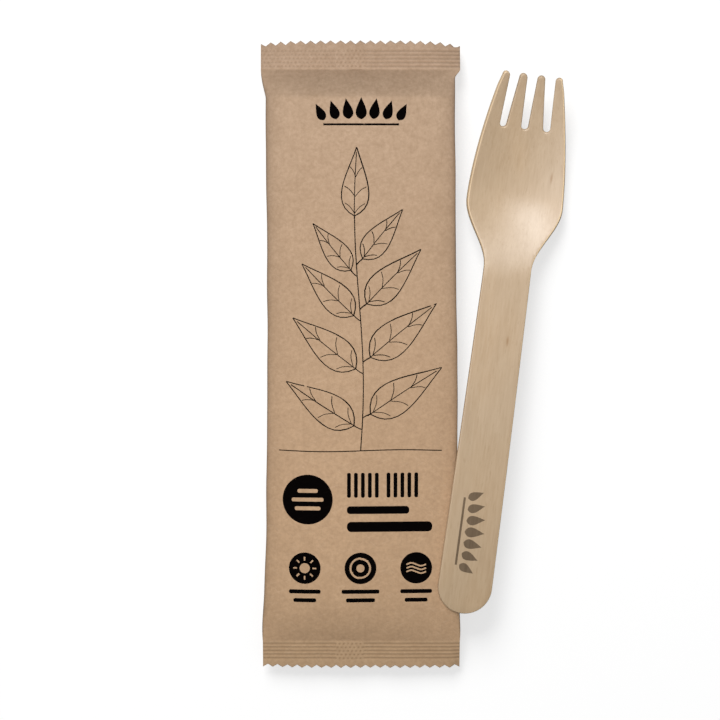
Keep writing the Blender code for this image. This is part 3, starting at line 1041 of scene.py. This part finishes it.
def leaf_edge(side, share):
    """Shares along and across of a place on a leaf's edge, a Bezier arc that its hips and neck pull."""
    rest = 1 - share
    hips = 3 * rest * rest * share
    neck = 3 * rest * share**2
    along = hips * LEAF_HIPS[0] + neck * LEAF_NECK[0] + share**3
    return along, side * (hips * LEAF_HIPS[1] + neck * LEAF_NECK[1])


def filled_leaf(centre, angle, length, ground=paper_height):
    """A leaf of solid ink around a place."""
    middle = leaf_frame(centre, angle, length, SOLID_LEAF_WIDTH * length)
    piece = flat_circle(2 * LEAF_HALF, 1)
    for i, vert in enumerate(piece.data.vertices):
        side = 1 if i <= LEAF_HALF else -1
        along, across = leaf_edge(side, 1 - abs(1 - i / LEAF_HALF))
        vert.co.xy = middle(along - 0.5, across)
    slice_finely(piece)
    lay_on(ground, piece)
    return piece


def line_leaf(base, angle, length):
    """A leaf as line work: two edges, a midrib and a few side veins. Returns its lines."""
    place = leaf_frame(base, angle, length, LINE_LEAF_WIDTH * length)
    ends = [place(0, 0), place(1, 0)]
    drawn = [drawn_line([place(*spot) for spot in MIDRIB], MIDRIB_LINE)]
    for side in (1, -1):
        pull = [place(along, side * across) for along, across in (LEAF_HIPS, LEAF_NECK)]
        drawn.append(drawn_line(ends, LINE, pull=pull))
        for i in range(VEINS):
            along, across = leaf_edge(side, blend(*VEIN_SPAN, i / (VEINS - 1)))
            vein = [place(along + VEIN_ROOT, 0)]
            vein += [place(along + shift, share * across) for shift, share in (VEIN_BEND, VEIN_TIP)]
            drawn.append(drawn_line(vein, VEIN_LINE))
    return drawn


print("leaves can be drawn")

# %% Row of leaves
HEADING = (0.2 * MM, 73.2 * MM)
ROW_LEAVES = 7
ROW_PITCH = 4.0 * MM
ROW_LEAN = math.radians(9)
ROW_LEAF_LENGTH = 6.4 * MM
ROW_SHRINK = 0.35 * MM
ROW_SAG = 0.12 * MM
ROW_BAR_REACH = 11.0 * MM
ROW_BAR_DROP = 4.6 * MM
ROW_BAR_LINE = 0.7 * MM


def leaf_row(centre, turn, scale, ground=paper_height):
    """A fan of solid leaves over a thin bar, turned by an angle. Returns its pieces."""
    place = leaf_frame(centre, turn, scale, scale)
    row = []
    for i in range(ROW_LEAVES):
        step = i - (ROW_LEAVES - 1) / 2
        length = (ROW_LEAF_LENGTH - ROW_SHRINK * abs(step)) * scale
        angle = turn + math.radians(90) - ROW_LEAN * step
        spot = place(step * ROW_PITCH, -ROW_SAG * step**2)
        row.append(filled_leaf(spot, angle, length, ground))
    ends = [place(side * ROW_BAR_REACH, -ROW_BAR_DROP) for side in (-1, 1)]
    row.append(drawn_line(ends, ROW_BAR_LINE * scale, ground=ground))
    return row


print("a row holds", ROW_LEAVES, "leaves")

# %% Heading and title
STROKES = 10
STROKE_PITCH = 2.05
STROKE_GAP = 1.4
FIRST_STROKE = (-3.4, -37.2, 1.1, 7.4)
TITLE_BARS = (
    # x, y, width and height in mm, as in FIRST_STROKE
    (5.2, -44.6, 18.4, 2.3),
    (8.6, -49.6, 25.2, 3.0),
)
CAPTIONS = (
    # x and width of the upper line in mm
    (-16.5, 9.4),
    (0.0, 11.2),
    (16.5, 9.4),
)
CAPTION_LINES = (
    # y, height, and how much shorter the line is, in mm
    (-69.0, 1.2, 0.0),
    (-71.6, 1.2, 2.6),
)

all_bars = list(TITLE_BARS)
x, y, width, height = FIRST_STROKE
for i in range(STROKES):
    gap = STROKE_GAP if i >= STROKES / 2 else 0.0
    all_bars.append((x + i * STROKE_PITCH + gap, y, width, height))
for x, width in CAPTIONS:
    all_bars += [(x, y, width - shorter, height) for y, height, shorter in CAPTION_LINES]
title = leaf_row(HEADING, 0, 1.0)
title += [bar(x * MM, y * MM, width * MM, height * MM) for x, y, width, height in all_bars]
bars = join_print("print_bars", title, ink)
print("heading, title and captions:", len(bars.data.polygons), "faces")

# %% Leafy shoot
GROUND_Y = -27.0 * MM
GROUND_WAVE = 0.25 * MM
SHOOT_HEIGHT = 69.0 * MM
SHOOT_PAIRS = (
    # height of the pair on the stem, length of its leaves, and their angle from the stem in degrees
    (8.0, 25.0, 57),
    (24.5, 25.0, 51),
    (40.0, 22.5, 45),
    (53.0, 18.5, 39),
)
PAIR_OFFSET = 1.7 * MM
LEFT_LEAF_SCALE = 0.95
LEAF_STALK = 2.6 * MM
TOP_LEAF_LENGTH = 20.0 * MM
TOP_LEAF_ANGLE = math.radians(88)
STEM_POINTS = 9
STEM_SWAY = 1.3 * MM
STEM_SHIFT = -0.5 * MM
STALK_LEAN = 0.1
STALK_BEND = 0.1 * MM


def shoot_point(height):
    """A place on the shoot's stem, which sways a little."""
    sway = STEM_SWAY * math.sin(4.2 * height / SHOOT_HEIGHT + 0.4)
    return sway + STEM_SHIFT, GROUND_Y + height


stem = [shoot_point(SHOOT_HEIGHT * i / (STEM_POINTS - 1)) for i in range(STEM_POINTS)]
lines = [drawn_line(stem, LINE)]
for height, length, spread in SHOOT_PAIRS:
    for side in (1, -1):
        foot = shoot_point(height * MM + side * PAIR_OFFSET)
        angle = math.radians(90 - side * spread)
        stalk = leaf_frame(foot, angle - STALK_LEAN * side, LEAF_STALK, 1)
        base = stalk(1, 0)
        size = length * MM * (1.0 if side > 0 else LEFT_LEAF_SCALE)
        lines.append(drawn_line([foot, stalk(0.5, STALK_BEND), base], LINE))
        lines += line_leaf(base, angle, size)
lines += line_leaf(shoot_point(SHOOT_HEIGHT), TOP_LEAF_ANGLE, TOP_LEAF_LENGTH)
ground = [(x * MM, GROUND_Y + GROUND_WAVE * math.sin(x / 7)) for x in range(-24, 25, 4)]
lines.append(drawn_line(ground, LINE))
twigs = join_print("print_shoot", lines, ink)
print("shoot:", len(lines), "lines,", len(twigs.data.polygons), "faces")

# %% Black discs
BADGE = (-15.6 * MM, -41.5 * MM)
BADGE_RADIUS = 7.4 * MM
SIGN_Y = -62.0 * MM
SIGN_RADIUS = 4.7 * MM

discs = [disc(*BADGE, BADGE_RADIUS)]
discs += [disc(x * MM, SIGN_Y, SIGN_RADIUS) for x, width in CAPTIONS]
black_discs = join_print("print_discs", discs, ink)
print("discs:", len(black_discs.data.polygons), "faces")

# %% Signs on the discs
BADGE_BARS = (
    # height over the badge's middle and width, in mm
    (2.6, 6.0),
    (0.0, 9.4),
    (-2.6, 7.6),
)
BADGE_BAR = 1.15 * MM
RING_RADIUS = 2.9 * MM
RING_ANGLES = (0, 1.571, 3.1416, 4.712)
RING_LINE = 0.7 * MM
DOT_RADIUS = 1.2 * MM
SUN_RADIUS = 1.5 * MM
SUN_RAYS = 8
RAY_ENDS = (2.3 * MM, 3.4 * MM)
SIGN_LINE = 0.55 * MM
WAVE_PLACES = (1.1 * MM, 0.0, -1.1 * MM)
WAVE_STEP = 1.45 * MM
WAVE_SWING = 0.45 * MM


def around(x, y, radius, angle):
    """A point of a circle."""
    return x + radius * math.cos(angle), y + radius * math.sin(angle)


sun_x, ring_x, wave_x = [x * MM for x, width in CAPTIONS]
signs = [bar(BADGE[0], BADGE[1] + up * MM, width * MM, BADGE_BAR, level=1) for up, width in BADGE_BARS]
ring = [around(ring_x, SIGN_Y, RING_RADIUS, angle) for angle in RING_ANGLES]
signs.append(drawn_line(ring, RING_LINE, closed=True, level=1))
signs.append(disc(ring_x, SIGN_Y, DOT_RADIUS, level=1))
signs.append(disc(sun_x, SIGN_Y, SUN_RADIUS, level=1))
for i in range(SUN_RAYS):
    ray = [around(sun_x, SIGN_Y, reach, 2 * math.pi * i / SUN_RAYS) for reach in RAY_ENDS]
    signs.append(drawn_line(ray, SIGN_LINE, level=1))
for up in WAVE_PLACES:
    swings = [(i, WAVE_SWING * math.sin(i * math.pi / 2)) for i in range(-2, 3)]
    wave = [(wave_x + i * WAVE_STEP, SIGN_Y + up - swing) for i, swing in swings]
    signs.append(drawn_line(wave, SIGN_LINE, level=1))
kraft_signs = join_print("print_signs", signs, kraft)
print("signs:", len(kraft_signs.data.polygons), "faces")

# %% [markdown]
# ## The fork
#
# The fork is one piece of birch veneer, 1.6 mm thick. A die cuts out its flat blank, a tumbler
# rounds its edges, and a hot press bends its bowl. The same steps make it here: a circle's points
# are moved on to the blank's outline, which is extruded, bevelled all round, sliced finely and then
# pressed by a function. Subdivision could round it as well, but it would soften the slots and tips.

# %% Sizes of the fork
FORK_LENGTH = 160.0 * MM
VENEER = 1.6 * MM
HANDLE_END_WIDTH = 16.1 * MM
NECK_WIDTH = 14.0 * MM
NECK_AT = 103.0 * MM
HEAD_WIDTH = 28.5 * MM
HEAD_AT = 122.0 * MM
HEAD_TIP_WIDTH = 17.7 * MM
TINE_LENGTH = 15.9 * MM
TINE_SWAY = 0.3 * MM
SLOT_ROOT_WIDTH = 2.1 * MM
SLOT_ROOT_PITCH = 6.5 * MM
SLOT_TIP_WIDTH = 3.0 * MM
SLOT_TIP_PITCH = 5.3 * MM
HEAD_TAPER = 1.65
BOWL_START = 99.0 * MM
BOWL_BOTTOM_AT = 126.0 * MM
BOWL_DEPTH = 6.0 * MM
TINE_RISE = 7.0 * MM
TINE_CURVE = 1.7
BOWL_CURL = 2.4 * MM
HANDLE_ARCH = 0.8 * MM
FORK_TURN = math.radians(7.42)
FORK_TILT = math.radians(0.81)
FORK_ROLL = math.radians(3.0)
FORK_END = Vector((29.9 * MM, -75.6 * MM, 8.64 * MM))

fork_place = (
    Matrix.Translation(FORK_END)
    @ Matrix.Rotation(-FORK_TURN, 4, "Z")
    @ Matrix.Rotation(-FORK_TILT, 4, "X")
    @ Matrix.Rotation(FORK_ROLL, 4, "Y")
)
print("fork turned", round(math.degrees(FORK_TURN), 2), "degrees")

# %% Outline of the blank
SIDE_STEP = 1.5 * MM
SIDES_STOP = 2.6 * MM


def half_width_of_fork(s):
    """Half the blank's width at a distance s from the end of the handle."""
    end = HANDLE_END_WIDTH / 2
    if s < end:
        return math.sqrt(max(end * end - (end - s) ** 2, 0.0))
    if s < NECK_AT:
        return blend(end, NECK_WIDTH / 2, (s - end) / (NECK_AT - end))
    if s < HEAD_AT:
        return blend(NECK_WIDTH / 2, HEAD_WIDTH / 2, ease((s - NECK_AT) / (HEAD_AT - NECK_AT)))
    taper = ((s - HEAD_AT) / (FORK_LENGTH - HEAD_AT)) ** HEAD_TAPER
    return blend(HEAD_WIDTH / 2, HEAD_TIP_WIDTH / 2, taper)


def arc(x, y, radius, start, end, count):
    """Points from one angle to another, both in degrees."""
    angles = [math.radians(blend(start, end, i / count)) for i in range(count + 1)]
    return [around(x, y, radius, angle) for angle in angles]


def blank_outline():
    """The blank's outline, anticlockwise from the end of the handle. Its tines sway a little left."""
    end = HANDLE_END_WIDTH / 2
    side = arc(0, end, end, -90, 0, 20)
    side += [(half_width_of_fork(s), s) for s in steps(end, FORK_LENGTH - SIDES_STOP, SIDE_STEP)[1:]]
    points = list(side)
    right = HEAD_TIP_WIDTH / 2
    for slot in (1, 0, -1):
        left = slot * SLOT_TIP_PITCH + SLOT_TIP_WIDTH / 2
        radius = (right - left) / 2
        points += arc((left + right) / 2, FORK_LENGTH - radius, radius, 0, 180, 12)
        root = SLOT_ROOT_WIDTH / 2
        points += arc(slot * SLOT_ROOT_PITCH, FORK_LENGTH - TINE_LENGTH + root, root, 0, -180, 10)
        right = left - SLOT_TIP_WIDTH
    radius = (right + HEAD_TIP_WIDTH / 2) / 2
    points += arc(right - radius, FORK_LENGTH - radius, radius, 0, 180, 12)
    points += [(-x, y) for x, y in side[:0:-1]]
    return [(x - TINE_SWAY * ease((y - HEAD_AT) / (FORK_LENGTH - HEAD_AT)), y) for x, y in points]


outline = blank_outline()
print("blank's outline:", len(outline), "points")

# %% Cut, round and slice the blank
EDGE_ROUND = 0.36 * MM
HANDLE_SLICE = 3 * MM
BOWL_SLICE = 0.9 * MM
CROSS_SLICE = 1.1 * MM

fork = flat_circle(len(outline), FORK_LENGTH / 3)
fork.name = "birch_fork"
for vert, (x, y) in zip(fork.data.vertices, outline):
    vert.co = (x, y, 0)
bpy.ops.object.mode_set(mode="EDIT")
thicken(VENEER)
bpy.ops.mesh.normals_make_consistent(inside=False)
bpy.ops.mesh.select_all(action="DESELECT")
bpy.ops.mesh.edges_select_sharp(sharpness=math.radians(60))
bpy.ops.mesh.bevel(offset=EDGE_ROUND, segments=4, affect="EDGES")
slice_mesh(steps(0, BOWL_START, HANDLE_SLICE)[1:], 1)
slice_mesh(steps(BOWL_START, FORK_LENGTH, BOWL_SLICE), 1)
slice_mesh(steps(-HEAD_WIDTH / 2, HEAD_WIDTH / 2, CROSS_SLICE)[1:], 0)
bpy.ops.object.mode_set(mode="OBJECT")
print("sliced blank:", len(fork.data.polygons), "faces")

# %% Press the bowl and lay the fork down
NUDGE = 0.05 * MM
RIM_WIDTH = 1.0 * MM
RIM_FADE = 8 * MM
FACE_MARGIN = 0.02 * MM
# Painted highlight of the rims: how pale the wood is painted inside the edge, and at the edge of the handle
# and of the head.
INSIDE = 0.1
LEFT_RIM_LIGHT = (0.05, 0.45)
RIGHT_RIM_LIGHT = (0.4, 1.0)


def pressed_height(x, s):
    """Height of the veneer's middle after the press."""
    arch = HANDLE_ARCH * math.sin(math.pi * min(s / BOWL_START, 1.0))
    if s < BOWL_BOTTOM_AT:
        along = -BOWL_DEPTH * ease((s - BOWL_START) / (BOWL_BOTTOM_AT - BOWL_START))
    else:
        climb = (s - BOWL_BOTTOM_AT) / (FORK_LENGTH - BOWL_BOTTOM_AT)
        along = -BOWL_DEPTH + TINE_RISE * climb**TINE_CURVE
    across = BOWL_CURL * (2 * x / HEAD_WIDTH) ** 2 * ease((s - BOWL_START) / (HEAD_AT - BOWL_START))
    return arch + along + across


def pressed(x, s, level):
    """Where the press takes a point of the blank that is level above its middle."""
    here = pressed_height(x, s)
    slope_x = (pressed_height(x + NUDGE, s) - here) / NUDGE
    slope_s = (pressed_height(x, s + NUDGE) - here) / NUDGE
    return Vector((x, s, here)) + Vector((-slope_x, -slope_s, 1)).normalized() * level


def painted_rim_light(x, s, level):
    """Painted highlight on the rims: none on the faces, and most at the edge, on the head and on the right,
    where the edge lies in shade.
    """
    if abs(level) > VENEER / 2 - FACE_MARGIN:
        return 0.0
    if abs(x) < half_width_of_fork(s) - RIM_WIDTH:
        return INSIDE
    on_head = ease((s - NECK_AT + RIM_FADE) / (HEAD_AT - NECK_AT))
    return blend(*(RIGHT_RIM_LIGHT if x > 0 else LEFT_RIM_LIGHT), on_head)


rim_light = fork.data.attributes.new("rim_light", "FLOAT", "POINT")
for i, vert in enumerate(fork.data.vertices):
    rim_light.data[i].value = painted_rim_light(*vert.co)
    vert.co = fork_place @ pressed(*vert.co)
finish_mesh(fork, 45)
fork_now = [max(v.co[axis] for v in fork.data.vertices) - fork_high[axis] for axis in range(3)]
print("fork against its solid, mm:", [round(side / MM, 2) for side in fork_now])

# %% [markdown]
# ## Birch veneer
#
# Birch is pale and even, with hair-fine grain along the fork, soft bands and clouds a few millimetres
# wide, a warmer shade here and there, and now and then a small brown fleck. The press leaves a faint
# shine. The grain is noise drawn out along the fork, so the pattern is first turned by the angle at
# which the fork lies. The rims are painted pale as a painted highlight, most on the head and on the
# right, where the edges lie in shade; an attribute on the mesh says where. The handle gets painted
# shade towards its end.

# %% Birch grain, as a group
STREAKS = (
    # what they are, how drawn out, noise scale, detail and roughness, their range, share and tint
    ("clouds", 1.8, 95, 4.0, 0.6, (0.36, 0.68), 0.34, "Dark"),
    ("warmth", 3, 60, 2.0, 0.5, (0.50, 0.75), 0.40, "Warm"),
    ("bands", 9, 420, 2.0, 0.5, (0.38, 0.68), 0.30, "Dark"),
    ("grain", 14, 1900, 3.0, 0.6, (0.35, 0.65), 0.36, "Pale"),
    ("pores", 9, 2900, 1.0, 0.5, (0.64, 0.72), 0.40, "Dark"),
)


def build_birch_grain():
    """Fine grain and soft bands of birch, drawn out along Y of the vector."""
    inputs = {"Vector": "Vector", "Wood": "Color", "Dark": "Color", "Pale": "Color", "Warm": "Color"}
    group, group_in, group_out = new_group("birch grain", inputs, {"Color": "Color", "Height": "Float"})
    colour = group_in.outputs["Wood"]
    values, masks = {}, {}
    for label, length, scale, detail, roughness, limits, share, tint in STREAKS:
        drawn_out = stretched(group, group_in.outputs["Vector"], 0, (1, length, 1))
        values[label] = noise_of(group, drawn_out, scale, detail, roughness)
        masks[label] = ramp(group, values[label], *limits, 0.0, share)
        colour = mix_colours(group, masks[label], colour, group_in.outputs[tint])
    group.links.new(colour, group_out.inputs["Color"])
    height = add_math(group, "SUBTRACT", values["grain"], masks["pores"])
    group.links.new(height, group_out.inputs["Height"])
    return group


birch_grain = build_birch_grain()
print("birch grain:", len(birch_grain.nodes), "nodes")

# %% Birch veneer
BIRCH = (0.516, 0.378, 0.246, 1)
BIRCH_DARK = (0.400, 0.272, 0.156, 1)
BIRCH_PALE = (0.600, 0.458, 0.308, 1)
BIRCH_WARM = (0.570, 0.375, 0.205, 1)
BIRCH_RIM_PAINTED_LIGHT = (0.860, 0.640, 0.390, 1)
# Painted shade for the end of the handle.
HANDLE_END_PAINTED_SHADE = (0.94, 0.93, 0.89, 1)
FLECK_BROWN = (0.300, 0.150, 0.050, 1)
FLECKS = (
    # place on the photograph, length and width in mm
    (551.5, 179, 2.8, 0.6),
    (507, 341, 2.4, 0.6),
)
FLECK_HEIGHT = 6 * MM
FLECK_SHARE = 0.6
GRAIN_BUMP = 0.012 * MM


def fleck_mask(tree, vector, px, py, length, width):
    """1 on a small soft spot drawn out along the fork."""
    reach = (width * MM, length * MM, 20 * MM)
    distance = tree.nodes.new("ShaderNodeVectorMath")
    distance.operation = "LENGTH"
    offset = stretched(tree, vector, -FORK_TURN, reach, (*on_table(px, py), FLECK_HEIGHT))
    tree.links.new(offset, distance.inputs[0])
    return ramp(tree, distance.outputs["Value"], 0.2, 0.8, FLECK_SHARE, 0.0)


birch, tree, shader = new_material("birch veneer", 0.42, 0.80)
vector = object_vector(tree)
along_fork = stretched(tree, vector, -FORK_TURN, (1, 1, 1))
grain = place_group(
    tree, birch_grain, along_fork, Wood=BIRCH, Dark=BIRCH_DARK, Pale=BIRCH_PALE, Warm=BIRCH_WARM
)
# Painted shade: the handle is painted darker towards its end, where the light falls off.
on_handle = ramp(tree, y_of(tree, vector), 0, fork_low.y)
colour = mix_colours(tree, on_handle, grain.outputs["Color"], HANDLE_END_PAINTED_SHADE, "MULTIPLY")
for px, py, length, width in FLECKS:
    mask = fleck_mask(tree, vector, px, py, length, width)
    colour = mix_colours(tree, mask, colour, FLECK_BROWN)
# Painted highlight on the rims, by the attribute.
colour = mix_colours(tree, ramp(tree, attribute_of(tree, "rim_light"), 0.1, 0.9), colour, BIRCH_RIM_PAINTED_LIGHT)
tree.links.new(colour, shader.inputs["Base Color"])
bump_from(tree, shader, grain.outputs["Height"], GRAIN_BUMP)
fork.data.materials.append(birch)
print("material:", birch.name)

# %% [markdown]
# ## The stamp on the handle
#
# Wooden cutlery is often stamped near the end of its handle, in a brown that lets the grain through.
# This stamp repeats the pack's row of leaves, a little smaller and turned along the handle. It is
# drawn by the same function, and only laid on the wood instead of on the paper.

# %% Stamp
STAMP_PLACE = Vector((0.6 * MM, 24.5 * MM, 0))
STAMP_SCALE = 0.92
STAMP_BROWN = (0.150, 0.102, 0.060, 1)
STAMP_DARK = (0.105, 0.070, 0.040, 1)
STAMP_PALE = (0.230, 0.165, 0.102, 1)

stamp_brown, tree, shader = new_material("stamp brown", 0.6, 0.3)
along_fork = stretched(tree, object_vector(tree), -FORK_TURN, (1, 1, 1))
grain = place_group(
    tree, birch_grain, along_fork, Wood=STAMP_BROWN, Dark=STAMP_DARK, Pale=STAMP_PALE, Warm=STAMP_BROWN
)
tree.links.new(grain.outputs["Color"], shader.inputs["Base Color"])

stamp_centre = (fork_place @ STAMP_PLACE).xy
stamp_turn = -FORK_TURN - math.radians(90)
stamp_row = leaf_row(stamp_centre, stamp_turn, STAMP_SCALE, top_of(fork))
stamp = join_print("fork_stamp", stamp_row, stamp_brown)
print("stamp:", len(stamp.data.polygons), "faces")

# %% [markdown]
# ## The lamps again, and the frame
#
# The lamps are aimed first, now that there are pieces to light: a lamp's receiver collection holds
# what it lights. Nothing on this object moves, so every piece rides on the one body. The paper stands
# for the pack's solid and the pressed fork for the fork's, so the two plain solids are hidden.

# %% Aim the lamps
def light_only(lamp, pieces):
    """Lets a lamp light nothing but these pieces."""
    lit = bpy.data.collections.new("lit by " + lamp.name)
    for piece in pieces:
        lit.objects.link(piece)
    lamp.light_linking.receiver_collection = lit


light_only(key, (floor,))
light_only(paper_lamp, (paper, fin, bars, twigs, black_discs, kraft_signs))
light_only(fork_lamp, (fork, stamp))
light_only(fork_fill, (fork, stamp))
print("lamps aimed")

# %% Ride and replace
for piece in (paper, fin, bars, twigs, black_discs, kraft_signs, fork, stamp):
    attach(piece, "root")
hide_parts("paper_pack")
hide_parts("wooden_fork")
